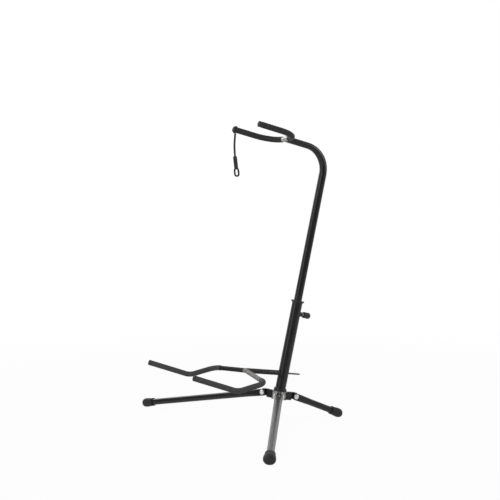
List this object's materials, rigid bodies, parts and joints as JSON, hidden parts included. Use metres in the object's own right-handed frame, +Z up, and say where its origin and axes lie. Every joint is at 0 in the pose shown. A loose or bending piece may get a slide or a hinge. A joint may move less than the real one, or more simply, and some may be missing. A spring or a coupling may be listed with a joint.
{
  "type": "folding guitar stand",
  "caption": "Folding guitar stand: tripod base, telescoping upright with a sleeved neck yoke and strap, and a sleeved body cradle.",
  "frame": {"origin": "on the floor under the middle of the stand's box, without the hanging strap", "axes": "+Z up; -Y is the front, where the cradle and yoke reach; +X is the right-hand side seen from the front"},
  "size_m": [0.7048, 0.4574, 0.7106],
  "materials": {
    "gloss_black": "gloss powder-coated steel tube",
    "soft_sleeve": "matte soft sleeve",
    "black_rubber": "matte moulded rubber",
    "black_plastic": "satin moulded plastic",
    "bright_rivet": "bright plated rivet",
    "zinc_steel": "zinc-plated screw",
    "brass_pad": "turned brass",
    "white_nylon": "natural nylon"
  },
  "bodies": {
    "base": {"lower_tube": "gloss_black", "tube_bush": "black_plastic", "base_ring": "black_plastic", "hub_core": "black_plastic", "hub_strip_front": "gloss_black", "hub_strip_left": "gloss_black", "hub_strip_right": "gloss_black", "leg_rivets": "bright_rivet", "pivot_washers": "black_plastic", "clamp_boss": "gloss_black"},
    "front_left_leg": {"leg_front_left": "gloss_black", "foot_front_left": "black_rubber"},
    "front_right_leg": {"leg_front_right": "gloss_black", "foot_front_right": "black_rubber"},
    "rear_leg": {"leg_rear": "gloss_black", "foot_rear": "black_rubber"},
    "clamp_slider": {"clamp_pad": "brass_pad"},
    "clamp": {"clamp_screw": "zinc_steel", "clamp_knob": "black_plastic"},
    "slider": {"guide_plug": "white_nylon"},
    "neck": {"upper_tube": "gloss_black", "yoke_tube": "gloss_black", "yoke_sleeve_left": "soft_sleeve", "yoke_sleeve_right": "soft_sleeve", "yoke_cap_left": "black_rubber", "yoke_cap_right": "black_rubber"},
    "strap": {"strap_ring": "black_rubber", "strap_cord": "black_rubber", "strap_tab": "black_rubber"},
    "cradle": {"cradle_tube": "gloss_black", "cradle_stem": "gloss_black", "cradle_sleeve_left": "soft_sleeve", "cradle_sleeve_right": "soft_sleeve", "cradle_plug_left": "black_rubber", "cradle_plug_right": "black_rubber"}
  },
  "joints": [
    {"name": "height_slide", "type": "slide", "parent": "base", "child": "slider", "axis": [0, 0.2215, 0.9751], "range_m": [-0.055, 0.04]},
    {"name": "neck_swivel", "type": "hinge", "parent": "slider", "child": "neck", "pos_m": [0, 0.10296, 0.28641], "axis": [0, 0.2215, 0.9751], "continuous": true},
    {"name": "clamp_turn", "type": "hinge", "parent": "clamp_slider", "child": "clamp", "pos_m": [0, 0.1167, 0.25662], "axis": [0, 0.9751, -0.2215], "range_deg": [0, 360]},
    {"name": "clamp_travel", "type": "slide", "parent": "base", "child": "clamp_slider", "axis": [0, 0.9751, -0.2215], "range_m": [0, 0.001]},
    {"name": "leg_front_left_fold", "type": "hinge", "parent": "base", "child": "front_left_leg", "pos_m": [-0.03724, 0.03184, 0.07018], "axis": [0.5, -0.8565, 0.128], "range_deg": [0, 74]},
    {"name": "leg_front_right_fold", "type": "hinge", "parent": "base", "child": "front_right_leg", "pos_m": [0.03724, 0.03184, 0.07018], "axis": [0.5, 0.8565, -0.128], "range_deg": [0, 74]},
    {"name": "leg_rear_fold", "type": "hinge", "parent": "base", "child": "rear_leg", "pos_m": [0, 0.09564, 0.06064], "axis": [-1, 0, 0], "range_deg": [0, 74]},
    {"name": "cradle_pull", "type": "slide", "parent": "base", "child": "cradle", "axis": [0, -0.9919, 0.1271], "range_m": [0, 0.05]},
    {"name": "strap_swing", "type": "hinge", "parent": "neck", "child": "strap", "pos_m": [-0.066, -0.03093, 0.70138], "axis": [0, -0.9751, 0.2215], "range_deg": [-90, 90]}
  ],
  "couplings": [
    {"joint": "clamp_turn", "follows": "clamp_travel", "rad_per_m": 6283.2}
  ]
}
